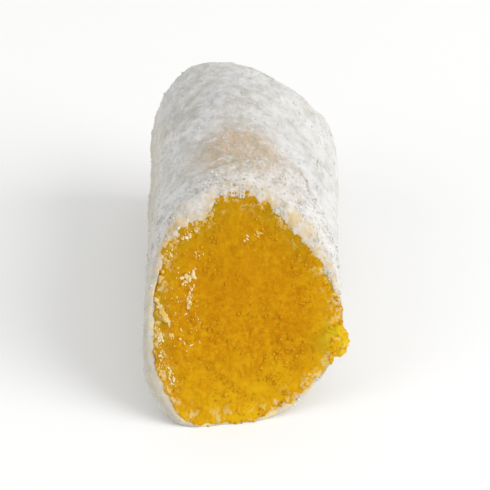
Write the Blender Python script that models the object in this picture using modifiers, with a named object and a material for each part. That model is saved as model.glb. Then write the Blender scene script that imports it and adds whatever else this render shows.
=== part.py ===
"""Half of a stick of candied egg-yolk paste in a coat of icing sugar, cut on the bias and lying on its side.

It is made as the real sweet is: the paste is rolled into a stick, coated, left to settle on its underside, and
cut with a knife. Units are metres, and +Z is up. The stick lies along Y with its cut face towards -Y. It is
modelled round the middle of the cut, and an empty then sets the origin on the surface that it lies on, under the
middle of its box.
"""

import math

import bmesh
import bpy
from mathutils import Matrix, Vector, noise

# Driving dimensions of the stick, and of its section, which is a circle pressed a little towards three sides
STICK_RADIUS = 0.01025
AXIS_LENGTH = 0.0356
END_ROUNDING = 0.0026
END_TURN = math.radians(-11)
THREE_SIDED = 0.060
THREE_SIDED_ANGLE = math.radians(-16)
SECTION_TWIST = math.radians(8)

# The coat: the paste lies a little to the right of its middle, and the underside is flat where the stick lay
COAT_THICKNESS = 0.00075
COAT_GAP = 0.0003
PASTE_SHIFT = Vector((0.00015, 0, -0.0001))
UNDERSIDE_FLAT = 0.00075
UNDERSIDE_COAT = 0.0005

# The cut: how far it leans back from upright and how far it turns to the right
CUT_LEAN = math.radians(36)
CUT_TURN = math.radians(10)

# Uneven surfaces: the length of the waves, how far they go in or out, and a place in the noise
SWELLS = (0.0105, 0.00045, Vector((0.0, 0.0, 0.0)))
LUMPS = (0.0036, 0.00020, Vector((3.1, 7.7, 1.9)))
END_CRAGS = (0.0028, 0.00050, Vector((9.2, 0.4, 5.5)))
SLICE_WAVES = (0.0062, 0.00030, Vector((2.5, 0.3, 8.1)))
SLICE_CRUMBS = (0.0013, 0.00022, Vector((0.0, 0.0, 0.0)))
CREASE_WANDER = (0.0050, 0.00060, Vector((0.0, 0.0, 0.0)))

# Marks by their distance behind the cut: the broken edge, the collar of sugar that the knife pushed up on the upper
# side, and the crease behind it on the upper right. The last two say where these begin, in radii from the axis
EDGE_WIDTH, EDGE_DEPTH, EDGE_STEEPNESS = 0.0013, 0.00035, 2
COLLAR_WIDTH, COLLAR_HEIGHT, COLLAR_SLOPE = 0.0052, 0.00025, 0.0012
CREASE_BEHIND, CREASE_WIDTH, CREASE_DEPTH = 0.0088, 0.0009, 0.00040
UPPER_MARKS_FROM, RIGHT_MARKS_FROM = -0.6, -0.4

# The roll of sugar along the lower left of the cut
ROLL_ANGLE, ROLL_HALF_ANGLE = math.radians(-142), math.radians(38)
ROLL_HEIGHT, ROLL_LENGTH = 0.00055, 0.0120

# The crumb of paste that the knife dragged over the edge, to the right and below the middle of the cut: its
# half-sizes out of the stick, along it and round it, how far it is from the axis, and its unevenness
SMEAR_ANGLE = math.radians(-21)
SMEAR_SIZE = Vector((0.0014, 0.0010, 0.0015))
SMEAR_AT = 0.0100
SMEAR_SINK = 0.0003
SMEAR_LUMPS = (0.0012, 0.30, Vector((0.0, 0.0, 0.0)))

# Fineness of the meshes
COAT_STEPS, COAT_ROW = 64, 0.00115
INNER_STEPS, INNER_ROW = 44, 0.0022
FRONT_ROWS = (-0.0030, -0.0007, 0.0005, 0.0011, 0.0018, 0.0026)
KNIFE_CELL, KNIFE_SIZE, KNIFE_THICKNESS = 0.00078, 0.0330, 0.0200
SMEAR_SUBDIVISIONS = 2
MERGE_DISTANCE = 0.00001
SHARP_ANGLE = math.radians(50)

COAT_COLOUR, COAT_ROUGHNESS = (0.80, 0.77, 0.72, 1.0), 0.85
PASTE_COLOUR, PASTE_ROUGHNESS = (0.62, 0.26, 0.006, 1.0), 0.50


def smooth(x):
    """0 below 0, 1 above 1, and an S between them."""
    x = min(max(x, 0.0), 1.0)
    return x * x * (3 - 2 * x)


def waves(point, kind):
    """How far waves of one kind stand out at a point."""
    length, depth, place = kind
    return depth * noise.noise(point / length + place)


def clear_scene():
    for obj in list(bpy.data.objects):
        bpy.data.objects.remove(obj)


def new_collection(name):
    collection = bpy.data.collections.new(name)
    bpy.context.scene.collection.children.link(collection)
    return collection


def new_material(name, colour, roughness):
    material = bpy.data.materials.new(name)
    material.use_nodes = True
    shader = material.node_tree.nodes["Principled BSDF"]
    shader.inputs["Base Color"].default_value = colour
    shader.inputs["Roughness"].default_value = roughness
    material.diffuse_color = colour
    return material


def add_object(name, mesh, collection):
    obj = bpy.data.objects.new(name, mesh)
    collection.objects.link(obj)
    return obj


def add_bmesh(name, built, collection):
    mesh = bpy.data.meshes.new(name)
    built.to_mesh(mesh)
    built.free()
    return add_object(name, mesh, collection)


def apply_modifiers(obj):
    """Makes the object's mesh what its modifiers show."""
    graph = bpy.context.evaluated_depsgraph_get()
    obj.data = bpy.data.meshes.new_from_object(obj.evaluated_get(graph))
    obj.modifiers.clear()


def make_cutter(obj):
    obj.hide_render = True
    obj.display_type = "WIRE"


def face_outward(mesh):
    shell = bmesh.new()
    shell.from_mesh(mesh)
    bmesh.ops.recalc_face_normals(shell, faces=shell.faces)
    shell.to_mesh(mesh)
    shell.free()


def shade(obj, material):
    obj.data.materials.clear()
    obj.data.materials.append(material)
    obj.data.shade_smooth()
    obj.data.set_sharp_from_angle(angle=SHARP_ANGLE)


def turn(name, profile, steps, collection):
    """A body turned about Y, from points of (radius, along) that start and end on the axis."""
    outline = bpy.data.meshes.new(name)
    edges = [(i, i + 1) for i in range(len(profile) - 1)]
    outline.from_pydata([(radius, along, 0) for radius, along in profile], edges, [])
    obj = add_object(name, outline, collection)
    screw = obj.modifiers.new("turn", "SCREW")
    screw.axis = "Y"
    screw.steps = screw.render_steps = steps
    screw.use_merge_vertices = True
    screw.merge_threshold = MERGE_DISTANCE
    apply_modifiers(obj)
    face_outward(obj.data)
    return obj


def far_end(radius, length, row):
    """Points across the far end and round its edge, from the axis outwards."""
    flat = radius - END_ROUNDING
    flat_steps = round(flat / row)
    across = [(flat * i / flat_steps, length) for i in range(flat_steps + 1)]
    arc_steps = max(2, round(END_ROUNDING * math.pi / 2 / row))
    angles = [math.pi / 2 * i / arc_steps for i in range(1, arc_steps + 1)]
    arc = [
        (flat + END_ROUNDING * math.sin(a), length - END_ROUNDING * (1 - math.cos(a)))
        for a in angles
    ]
    return across + arc


def wall_rows(radius, length, row):
    """Points down the wall, from the far end's rounding to the last row in front of the cut, and to the axis."""
    back, front = length - END_ROUNDING, FRONT_ROWS[-1]
    count = round((back - front) / row)
    between = [back + (front - back) * i / count for i in range(1, count)]
    wall = [(radius, along) for along in [*between, *reversed(FRONT_ROWS)]]
    return wall + [(0, FRONT_ROWS[0])]


def cut_at(x, z):
    """Where the cut crosses the line along the stick at x and z."""
    return x * math.tan(CUT_TURN) + z * math.tan(CUT_LEAN)


def shape_stick(mesh):
    """Gives a turned body the stick's section, and slants its rows along the cut and along the far end."""
    for vertex in mesh.vertices:
        x, y, z = vertex.co
        back = smooth(y / AXIS_LENGTH)
        angle = math.atan2(z, x) - THREE_SIDED_ANGLE - SECTION_TWIST * back
        pressed = 1 + THREE_SIDED * math.cos(3 * angle)
        x, z = x * pressed, z * pressed
        slant = (1 - back) * cut_at(x, z) + back * x * math.tan(END_TURN)
        vertex.co = (x, y + slant, z)


def behind_cut(point):
    return point.y - cut_at(point.x, point.z)


def stick_form(point):
    """What the paste and its coat share: the long waves of a hand-rolled stick, and the crease."""
    across = (behind_cut(point) - CREASE_BEHIND - waves(point, CREASE_WANDER)) / CREASE_WIDTH
    upper = smooth(point.z / STICK_RADIUS - UPPER_MARKS_FROM)
    right = smooth(point.x / STICK_RADIUS - RIGHT_MARKS_FROM)
    return waves(point, SWELLS) - CREASE_DEPTH * upper * right * math.exp(-across * across)


def end_crags(point):
    """The far end was broken off, so it is rougher than the wall."""
    end = AXIS_LENGTH + point.x * math.tan(END_TURN)
    return smooth((point.y - end + END_ROUNDING) / END_ROUNDING) * waves(point, END_CRAGS)


def sugar_roll(point):
    """The thicker sugar along the lower left of the cut."""
    angle = (math.atan2(point.z, point.x) - ROLL_ANGLE) / ROLL_HALF_ANGLE
    share = smooth(1 - abs(angle)) * smooth(1 - behind_cut(point) / ROLL_LENGTH)
    return ROLL_HEIGHT * share


def coat_relief(point):
    """What only the sugar has: lumps, crags, the roll, the collar and the broken edge."""
    behind = behind_cut(point)
    upper = smooth(point.z / STICK_RADIUS - UPPER_MARKS_FROM)
    collar = COLLAR_HEIGHT * upper * smooth((COLLAR_WIDTH - behind) / COLLAR_SLOPE)
    edge = -EDGE_DEPTH * smooth(1 - behind / EDGE_WIDTH) ** EDGE_STEEPNESS
    return waves(point, LUMPS) + end_crags(point) + sugar_roll(point) + collar + edge


def move_along_normals(mesh, distance):
    """Moves every vertex along its normal by distance(its place)."""
    normals = [vertex.normal.copy() for vertex in mesh.vertices]
    for vertex, normal in zip(mesh.vertices, normals):
        vertex.co += normal * distance(vertex.co.copy())


def settle(mesh, coat_below=0.0):
    """Flattens the underside, where the soft stick lay."""
    floor = UNDERSIDE_FLAT - STICK_RADIUS + coat_below
    for vertex in mesh.vertices:
        vertex.co.z = max(vertex.co.z, floor)


def make_skin(collection):
    """The outside of the coated stick, from the far end to beyond the cut."""
    profile = far_end(STICK_RADIUS, AXIS_LENGTH, COAT_ROW)
    profile += wall_rows(STICK_RADIUS, AXIS_LENGTH, COAT_ROW)
    skin = turn("sugar_coat", profile, COAT_STEPS, collection)
    shape_stick(skin.data)
    move_along_normals(skin.data, lambda point: stick_form(point) + coat_relief(point))
    settle(skin.data)
    return skin


def make_inner(name, depth, collection):
    """The stick's form at a depth under its skin: the hollow of the coat, or the paste."""
    radius, length = STICK_RADIUS - depth, AXIS_LENGTH - depth
    profile = far_end(radius, length, INNER_ROW) + wall_rows(radius, length, INNER_ROW)
    inner = turn(name, profile, INNER_STEPS, collection)
    shape_stick(inner.data)
    move_along_normals(inner.data, stick_form)
    inner.data.transform(Matrix.Translation(PASTE_SHIFT))
    settle(inner.data, UNDERSIDE_COAT + depth - COAT_THICKNESS)
    return inner


def cut_frame():
    """The cut's own axes: across it, up it, and out of it towards the front."""
    out = Vector((math.tan(CUT_TURN), -1, math.tan(CUT_LEAN))).normalized()
    across = Vector((0, 0, 1)).cross(out).normalized()
    up = out.cross(across)
    return Matrix((across, up, out)).transposed().to_4x4()


def make_knife(collection):
    """A thick block whose back is the cut: what it takes away leaves the face as rough as crumbly paste."""
    cells = round(KNIFE_SIZE / KNIFE_CELL)
    block = bmesh.new()
    bmesh.ops.create_grid(block, x_segments=cells, y_segments=cells, size=KNIFE_SIZE / 2)
    for vertex in block.verts:
        vertex.co.z += waves(vertex.co, SLICE_WAVES) + waves(vertex.co, SLICE_CRUMBS)
    extruded = bmesh.ops.extrude_face_region(block, geom=block.faces[:])
    raised = [item for item in extruded["geom"] if isinstance(item, bmesh.types.BMVert)]
    bmesh.ops.translate(block, verts=raised, vec=(0, 0, KNIFE_THICKNESS))
    bmesh.ops.recalc_face_normals(block, faces=block.faces)
    knife = add_bmesh("knife", block, collection)
    knife.matrix_world = cut_frame()
    make_cutter(knife)
    return knife


def make_smear(name, grow, collection):
    """The crumb of paste on the edge, or its clearance when it grows."""
    size = SMEAR_SIZE + Vector((grow, grow, grow))
    crumb = bmesh.new()
    bmesh.ops.create_icosphere(crumb, subdivisions=SMEAR_SUBDIVISIONS, radius=1.0)
    for vertex in crumb.verts:
        vertex.co = Vector(a * b for a, b in zip(vertex.co, size))
        vertex.co *= 1 + waves(vertex.co, SMEAR_LUMPS)
    smear = add_bmesh(name, crumb, collection)
    x, z = SMEAR_AT * math.cos(SMEAR_ANGLE), SMEAR_AT * math.sin(SMEAR_ANGLE)
    smear.location = (x, cut_at(x, z) + SMEAR_SINK, z)
    smear.rotation_euler = (0, -SMEAR_ANGLE, 0)
    make_cutter(smear)
    return smear


def add_boolean(obj, other, operation):
    """Cuts obj by other, or joins them, by the exact solver."""
    boolean = obj.modifiers.new(f"{operation.lower()} {other.name}", "BOOLEAN")
    boolean.operation = operation
    boolean.solver = "EXACT"
    boolean.object = other


def stand_on_origin(shown, cutters):
    """Parents everything to an empty that brings the middle of the shown box's underside to the origin."""
    bpy.context.view_layer.update()
    graph = bpy.context.evaluated_depsgraph_get()
    corners = [
        obj.matrix_world @ Vector(corner)
        for obj in shown
        for corner in obj.evaluated_get(graph).bound_box
    ]
    low = Vector(min(corner[i] for corner in corners) for i in range(3))
    high = Vector(max(corner[i] for corner in corners) for i in range(3))
    middle = (low + high) / 2
    stand = bpy.data.objects.new("stand", None)
    bpy.context.scene.collection.objects.link(stand)
    stand.location = (-middle.x, -middle.y, -low.z)
    for obj in [*shown, *cutters]:
        obj.parent = stand


def main():
    clear_scene()
    sweet = new_collection("yolk_paste_stick")
    cutters = new_collection("cutters")
    sugar = new_material("icing_sugar", COAT_COLOUR, COAT_ROUGHNESS)
    yolk = new_material("yolk_paste", PASTE_COLOUR, PASTE_ROUGHNESS)

    knife = make_knife(cutters)
    coat = make_skin(sweet)
    hollow = make_inner("hollow", COAT_THICKNESS, cutters)
    make_cutter(hollow)
    add_boolean(coat, hollow, "DIFFERENCE")
    add_boolean(coat, knife, "DIFFERENCE")
    add_boolean(coat, make_smear("smear_clearance", COAT_GAP, cutters), "DIFFERENCE")

    paste = make_inner("yolk_paste", COAT_THICKNESS + COAT_GAP, sweet)
    add_boolean(paste, knife, "DIFFERENCE")
    add_boolean(paste, make_smear("smear", 0, cutters), "UNION")

    shade(coat, sugar)
    shade(paste, yolk)
    stand_on_origin([coat, paste], cutters.objects)


main()
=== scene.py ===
"""The looks of half a stick of candied egg-yolk paste in a coat of icing sugar, built round its solids.

The coat and the paste are fine meshes read off the two solids by rays. They then get the relief of caked
powder and of crumbly paste, and loose crumbs of sugar and of paste lie on both. Units are metres, in the
frame of the solids: +Z is up, the stick lies along Y, and its cut face looks towards -Y.
"""

import itertools
import math

import bmesh
import bpy
import numpy as np
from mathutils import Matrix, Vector
from mathutils.bvhtree import BVHTree
from mathutils.kdtree import KDTree


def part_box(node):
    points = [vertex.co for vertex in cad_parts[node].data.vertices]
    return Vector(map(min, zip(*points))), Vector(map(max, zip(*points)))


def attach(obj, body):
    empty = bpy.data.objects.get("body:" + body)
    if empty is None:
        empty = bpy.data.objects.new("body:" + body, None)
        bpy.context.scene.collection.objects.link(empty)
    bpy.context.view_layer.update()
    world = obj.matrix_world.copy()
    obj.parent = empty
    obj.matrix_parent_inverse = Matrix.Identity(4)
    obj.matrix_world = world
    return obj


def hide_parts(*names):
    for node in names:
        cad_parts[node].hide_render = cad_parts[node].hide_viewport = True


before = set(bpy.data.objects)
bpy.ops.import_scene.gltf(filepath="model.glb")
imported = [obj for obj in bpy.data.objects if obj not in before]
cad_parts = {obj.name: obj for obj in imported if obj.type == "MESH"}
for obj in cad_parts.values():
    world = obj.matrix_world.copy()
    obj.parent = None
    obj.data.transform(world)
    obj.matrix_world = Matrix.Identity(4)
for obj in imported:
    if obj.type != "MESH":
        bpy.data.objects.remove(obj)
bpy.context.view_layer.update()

MM = 0.001

# The cut, as in the solids: how far it leans back and turns, and its normal, which points out of the stick
CUT_LEAN, CUT_TURN = math.radians(36), math.radians(10)
OUT = np.array((math.tan(CUT_TURN), -1, math.tan(CUT_LEAN)))
OUT /= np.linalg.norm(OUT)

# The axis of the stick
AXIS_X, AXIS_Z = -0.2 * MM, 9.5 * MM

# Reading the solids: how far behind the cut their wall is clear of the broken edge and of the crumb, how far
# out the rays start, how deep in the far end their hub lies, and the gap between the two solids
CLEAR_OF_EDGE, OUTSIDE, HUB_DEPTH, WALL_GAP = 2.0 * MM, 30 * MM, 6.0 * MM, 0.3 * MM

# How much closer the rings lie at the cut, and how often the rays are aimed again at what they found
RING_CROWDING, RAY_ROUNDS = 1.08, 3

# How wide the sugar's rim shows round the cut, in millimetres, by the angle in degrees from +X towards +Z
RIM_WIDTHS = (
    (-180, 1.15), (-150, 1.40), (-132, 0.95), (-116, 0.30), (-88, 0.10), (-62, 0.50), (-40, 0.45),
    (-20, 0.05), (-2, 0.12), (12, 0.70), (24, 0.95), (33, 1.25), (42, 0.95), (73, 0.90), (100, 0.65),
    (106, 1.10), (110, 1.85), (115, 2.35), (119, 1.95), (124, 1.35), (131, 0.90), (138, 0.15), (155, 0.80),
)

# How far behind the cut the thick crumbly collar of sugar ends, in millimetres, by the same angle
COLLAR_ENDS = (
    (-90, 4.0), (0, 5.5), (20, 6.5), (37, 8.2), (46, 9.8), (57, 9.2), (71, 7.0), (98, 4.3), (110, 3.9),
    (125, 5.2), (140, 7.2), (160, 6.0),
)

# Where the sugar's rim is most rounded, and how far round it that reaches
ROUNDED_AT, ROUNDED_WIDTH = math.radians(-142), math.radians(42)

# Sugar dragged over the face: its middle across and up from the axis and its half sizes, in millimetres, its
# tilt in degrees, the number of crumbs and their scale
DRAGGED = (
    ((-8.35, 0.75), (0.12, 1.00), 33, 120, 1.35),
    ((-8.6, -1.3), (0.50, 0.30), 0, 34, 1.15),
    ((-7.3, -1.4), (0.35, 0.30), 0, 12, 1.1),
    ((-5.5, 3.4), (0.9, 0.35), 35, 44, 1.1),
    ((-5.5, 1.3), (0.22, 0.9), -12, 46, 1.1),
    ((-4.6, 5.4), (0.4, 0.3), 0, 10, 1.0),
    ((-6.3, 6.8), (1.5, 0.35), 24, 34, 0.9),
    ((-7.4, 5.6), (0.7, 0.4), 45, 13, 0.9),
    ((0.6, 6.4), (0.40, 0.22), 20, 10, 1.0),
    ((1.9, 6.8), (0.30, 0.20), 20, 6, 1.0),
    ((-7.4, -4.9), (0.40, 0.8), 20, 24, 1.0),
    ((-8.4, -2.9), (0.25, 1.6), 12, 28, 0.9),
    ((-5.0, -1.2), (1.6, 1.3), 0, 12, 0.8),
    ((6.6, 6.4), (1.2, 0.40), -48, 34, 0.9),
    ((-6.6, 0.4), (2.0, 4.2), 10, 50, 0.8),
)

# The smeared crumb: half its size, and its place on the cut by angle, radius and height over the cut
SMEAR_HALF_SIZE = np.array((1.70, 1.20, 1.85)) * MM
SMEAR_ANGLE, SMEAR_RADIUS, SMEAR_HEIGHT = math.radians(-18), 10.35 * MM, -0.35 * MM

# Loose crumbs: how many there are, their middle radius in millimetres, and the seeds of their random draws
CLUMPS, CLUMP_RADIUS, CLUMP_SEEDS = 1700, 0.070, (51, 52, 53)
GRANULES, GRANULE_RADIUS, GRANULE_SEEDS = 800, 0.080, (57, 58, 59)
DRAGGED_RADIUS, DRAGGED_SEEDS = 0.070, (55, 56)

# Fineness of the meshes. The inner rings are those of the coat's inside and of the paste's sides
COAT_COLUMNS, COAT_WALL_RINGS, COAT_END_RINGS = 330, 168, 64
RIM_ROUND_RINGS, RIM_FLAT_RINGS = 6, 7
INNER_RINGS = 12, 7
FACE_CELLS = 250
SMEAR_SUBDIVISIONS, CRUMB_SUBDIVISIONS = 6, 2

# How far behind the cut each surface's rays start, and how many times their lengths are evened out
COAT_START, COAT_PASSES = 0.45 * MM, 16
LINING_START, LINING_PASSES = 1.2 * MM, 4
BODY_START, BODY_PASSES = 0.9 * MM, 2
FACE_PASSES = 36

# The solid's face is read by rays from so far in front of it, and only out to this share of its radius
FACE_RAY_START, READ_SHARE = 5 * MM, 0.84

# How far the paste's face goes on under the sugar's rim, and how much of its radius shows
TUCKED_UNDER, SHOWN_SHARE = 0.30 * MM, 0.985

# How low the coat, the face and the loose crumbs may reach
COAT_LOWEST, FACE_LOWEST, CRUMB_LOWEST = 0.02 * MM, 0.04 * MM, 0.01 * MM

# Colours of the sugar
SUGAR = {
    "grey": (0.500, 0.490, 0.455),
    "white": (0.700, 0.693, 0.674),
    "cool": (0.64, 0.65, 0.695),
    # Thin sugar on the lower left, greyer and beige, and painted shade on that side
    "thin_and_shade": (0.53, 0.478, 0.370),
    "dark": (0.42, 0.405, 0.34),
    "light": (0.83, 0.82, 0.80),
    # Painted light: the right side whiter
    "thick": (0.80, 0.785, 0.775),
    # The collar's white; its band is stronger on the right as painted light
    "collar": (0.775, 0.745, 0.705),
    "speck": (0.41, 0.385, 0.32),
    "green_beige": (0.465, 0.39, 0.255),
    "red_beige": (0.565, 0.405, 0.275),
    "brown": (0.43, 0.31, 0.18),
    "far": (0.60, 0.525, 0.43),
    "golden": (0.50, 0.38, 0.17),
    # Painted shade in the pits, along the crease and in the holes
    "pit_shade": (0.46, 0.40, 0.31),
    "soaked": (0.63, 0.45, 0.19),
    "cream": (0.88, 0.69, 0.33),
    "dull": (0.52, 0.50, 0.46),
    "bright": (0.88, 0.875, 0.86),
}

# Colours of the paste
PASTE = {
    "amber": (0.53, 0.225, 0.002),
    "gold": (0.60, 0.285, 0.003),
    "mustard": (0.52, 0.265, 0.003),
    "pale_grain": (0.68, 0.36, 0.004),
    "dark_grain": (0.46, 0.185, 0.002),
    # Painted shade: deeper orange where the relief of the grain sinks
    "hollow": (0.46, 0.175, 0.002),
    # Painted shade in the pits of the face and between the crumb's knobs
    "pit_shade": (0.44, 0.16, 0.002),
    "orange": (0.44, 0.175, 0.002),
    "yellow": (0.71, 0.40, 0.006),
    "deep": (0.47, 0.19, 0.002),
    "olive": (0.41, 0.245, 0.004),
    "lemon": (0.765, 0.490, 0.008),
    "smear": (0.66, 0.53, 0.018),
    "bright": (0.76, 0.46, 0.012),
    "frost": (0.75, 0.58, 0.26),
}

# Colours of the loose crumbs: the darkest, the palest and that of their spots
LOOSE_SUGAR = (0.58, 0.57, 0.54), (0.80, 0.795, 0.77), (0.48, 0.45, 0.40)
FACE_SUGAR = (0.76, 0.46, 0.07), (0.90, 0.76, 0.50), (0.78, 0.48, 0.09)
LOOSE_PASTE = (0.58, 0.24, 0.003), (0.72, 0.40, 0.015), (0.50, 0.18, 0.002)

# Floor, world and lights: name, place, diameter, power and colour
FLOOR_HALF = 2.0
FLOOR_COLOURS = (0.965, 0.965, 0.96), (0.98, 0.98, 0.975)
WORLD_STRENGTH = 0.64
LIGHTS = (
    ("key", (0.56, -0.22, 0.40), 0.60, 3.35, (1.0, 0.995, 0.985)),
    ("fill", (-0.55, -0.20, 0.35), 0.60, 1.0, (0.97, 0.985, 1.0)),
)

# The camera looks down from straight in front of the cut, and aims beyond the middle of the cut by so much
CAMERA_ELEVATION, CAMERA_DISTANCE = math.radians(34), 0.494
CAMERA_AIM = Vector((0.4, 13.0, 0)) * MM
CAMERA_LENS, SENSOR_WIDTH = 343, 36
CLIP_START, CLIP_END = 0.05, 10

# Random tables for the noise
HASH_SIZE = 256
HASH = np.random.default_rng(11).permutation(HASH_SIZE)
SLOPES = np.random.default_rng(12).normal(size=(HASH_SIZE, 3))
SLOPES /= np.linalg.norm(SLOPES, axis=1, keepdims=True)
JITTER = np.random.default_rng(13).random((HASH_SIZE, 3))
TONES = np.random.default_rng(14).random(HASH_SIZE)


# Shapes of unevenness


def smoothstep(low, high, x):
    """0 where x is below low, 1 above high, and an S between them."""
    share = np.clip((x - low) / (high - low), 0, 1)
    return share * share * (3 - 2 * share)


def hashed(cells):
    """A whole number below HASH_SIZE for each cell of a grid."""
    mixed = HASH[cells[:, 0] % HASH_SIZE]
    mixed = HASH[(mixed + cells[:, 1]) % HASH_SIZE]
    return HASH[(mixed + cells[:, 2]) % HASH_SIZE]


def waves(points, length, place=0):
    """Smooth noise at each point, about -1 to 1, with waves of that length, or lengths along X, Y and Z. Each
    place gives a pattern of its own."""
    scaled = points / length + 17.3 * place
    cells = np.floor(scaled).astype(int)
    within = scaled - cells
    eased = within**3 * (within * (within * 6 - 15) + 10)
    total = np.zeros(len(points))
    for corner in itertools.product((0, 1), repeat=3):
        weight = np.prod(np.where(corner, eased, 1 - eased), axis=1)
        total += weight * np.sum(SLOPES[hashed(cells + corner)] * (within - corner), axis=1)
    return 1.7 * total


def rough(points, length, octaves, place=0):
    """Waves with finer and weaker waves on them."""
    return sum(waves(points, length / 2**i, place + i) / 1.7**i for i in range(octaves))


def grains(points, size, place=0):
    """For each point the distance to the middle of its grain, in grain sizes, and the grain's own number from
    0 to 1."""
    scaled = points / size + 9.7 * place
    cells = np.floor(scaled).astype(int)
    nearest, own = np.full(len(points), 9.0), np.zeros(len(points))
    for step in itertools.product((-1, 0, 1), repeat=3):
        found = hashed(cells + step)
        gap = np.linalg.norm(cells + step + JITTER[found] - scaled, axis=1)
        closer = gap < nearest
        own = np.where(closer, TONES[found], own)
        nearest = np.where(closer, gap, nearest)
    return nearest, own


def knobs(points, size, place):
    """How far round grains stand out, from 0 between them to 1, with each grain's own number."""
    nearest, own = grains(points, size, place)
    return 1 - np.clip(nearest, 0, 1) ** 2, own


def bell(x, middle, half_width):
    """1 at the middle, falling away on both sides."""
    return np.exp(-(((x - middle) / half_width) ** 2))


def round_the_cut(pairs, angle):
    """A length for each angle, from pairs of degrees and millimetres."""
    degrees, lengths = zip(*pairs)
    return np.interp(np.degrees(angle), degrees, np.array(lengths) * MM, period=360)


# Reading the solids


def tree_of(node):
    """A node's solid, ready for rays."""
    return BVHTree.FromObject(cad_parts[node], bpy.context.evaluated_depsgraph_get())


def cut_offset():
    """Where the plane of the cut crosses the Y axis, from the paste's faces that look out of the cut."""
    total = area = 0.0
    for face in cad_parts["yolk_paste"].data.polygons:
        if face.normal.dot(Vector(OUT)) > 0.85:
            x, y, z = face.center
            total += face.area * (y - x * math.tan(CUT_TURN) - z * math.tan(CUT_LEAN))
            area += face.area
    return total / area


CUT_OFFSET = cut_offset()


def cut_y(x, z):
    """Where the plane of the cut is along Y."""
    return CUT_OFFSET + x * math.tan(CUT_TURN) + z * math.tan(CUT_LEAN)


def behind_cut(points):
    """How far along Y each point is behind the plane of the cut."""
    return points[..., 1] - cut_y(points[..., 0], points[..., 2])


def on_cut(angle, radius, height=0.0):
    """Points on the cut, or that height in front of it."""
    x = AXIS_X + radius * np.cos(angle)
    z = AXIS_Z + radius * np.sin(angle)
    return np.stack([x, cut_y(x, z), z], axis=-1) + OUT * np.asarray(height)[..., None]


def reach(tree, centres, directions):
    """How far from each centre a solid's outside is, along a direction."""
    found = []
    for centre, direction in zip(centres.reshape(-1, 3), directions.reshape(-1, 3)):
        hit = tree.ray_cast(Vector(centre + direction * OUTSIDE), -Vector(direction))[0]
        found.append(np.linalg.norm(np.array(hit) - centre))
    return np.array(found).reshape(centres.shape[:-1])


def soften(grid, passes):
    """Evens out a grid of numbers whose rows are closed rings."""
    for _ in range(passes):
        grid = (np.roll(grid, 1, axis=1) + 2 * grid + np.roll(grid, -1, axis=1)) / 4
        padded = np.concatenate([grid[:1], grid, grid[-1:]])
        grid = (padded[:-2] + 2 * padded[1:-1] + padded[2:]) / 4
    return grid


def wall_rays(angle, radius, share, hub_y, first):
    """Centres and directions of the rays for rings along the stick. At share 0 a ring follows the cut, and at
    share 1 it is square to the axis."""
    out = np.stack([np.cos(angle), np.zeros_like(angle), np.sin(angle)], axis=-1)
    start = cut_y(AXIS_X + radius * out[..., 0], AXIS_Z + radius * out[..., 2]) + first
    along = start + (hub_y - start) * share
    centres = np.stack([np.full_like(along, AXIS_X), along, np.full_like(along, AXIS_Z)], axis=-1)
    return centres, out


def end_rays(angle, rings, hub_y, radius):
    """Centres and directions of the rays that fan from the hub over the far end, evenly along its outline."""
    path = np.linspace(0, HUB_DEPTH + radius, rings + 2)[1:-1, None]
    up = np.minimum(path, HUB_DEPTH)
    across = radius - np.maximum(path - HUB_DEPTH, 0)
    tilt = np.arctan2(up, across) + 0 * angle
    ring = np.broadcast_to(angle, tilt.shape)
    out = np.stack([np.cos(tilt) * np.cos(ring), np.sin(tilt), np.cos(tilt) * np.sin(ring)], axis=-1)
    return np.broadcast_to((AXIS_X, hub_y, AXIS_Z), out.shape), out


def read_stick(node, angles, wall_rings, end_rings, first, soft_passes, grow=0.0):
    """Rings of points on a solid's outside from the cut to the far end, and the middle of that end."""
    tree = tree_of(node)
    hub_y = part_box(node)[1].y - HUB_DEPTH
    angle = np.broadcast_to(angles, (wall_rings, len(angles)))
    share = np.linspace(0, 1, wall_rings)[:, None] ** RING_CROWDING
    radius = np.full(angle.shape, AXIS_Z)
    for _ in range(RAY_ROUNDS):
        centres, out = wall_rays(angle, radius, share, hub_y, first)
        clear = np.maximum(CLEAR_OF_EDGE - behind_cut(centres + out * radius[..., None]), 0)
        radius = reach(tree, centres + clear[..., None] * (0, 1, 0), out)
    centres, out = wall_rays(angle, radius, share, hub_y, first)
    end_centres, end_out = end_rays(angles, end_rings, hub_y, AXIS_Z)
    radius = np.concatenate([radius, reach(tree, end_centres, end_out)])
    radius = soften(radius, soft_passes) + grow
    centres = np.concatenate([centres, end_centres])
    out = np.concatenate([out, end_out])
    pole_centre = np.array([[AXIS_X, hub_y, AXIS_Z]])
    pole_out = np.array([[0.0, 1.0, 0.0]])
    pole = pole_centre + pole_out * (reach(tree, pole_centre, pole_out)[:, None] + grow)
    return centres + out * radius[..., None], pole


# Building meshes


def ring_faces(first, rings, columns):
    """Quads between rings of points that follow each other from index first."""
    ring, column = np.meshgrid(np.arange(rings - 1), np.arange(columns), indexing="ij")
    here = first + ring * columns + column
    beside = first + ring * columns + (column + 1) % columns
    return np.stack([here, beside, beside + columns, here + columns], axis=-1).reshape(-1, 4)


def fan_faces(ring_start, columns, pole):
    """Triangles between a ring and one point."""
    column = np.arange(columns)
    beside = (column + 1) % columns
    return np.stack([ring_start + column, ring_start + beside, np.full(columns, pole)], axis=-1)


def ball(subdivisions):
    """Points and faces of a round ball of radius 1."""
    shell = bmesh.new()
    bmesh.ops.create_icosphere(shell, subdivisions=subdivisions, radius=1.0)
    points = np.array([vertex.co for vertex in shell.verts])
    faces = np.array([[vertex.index for vertex in face.verts] for face in shell.faces])
    shell.free()
    return points, faces


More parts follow.
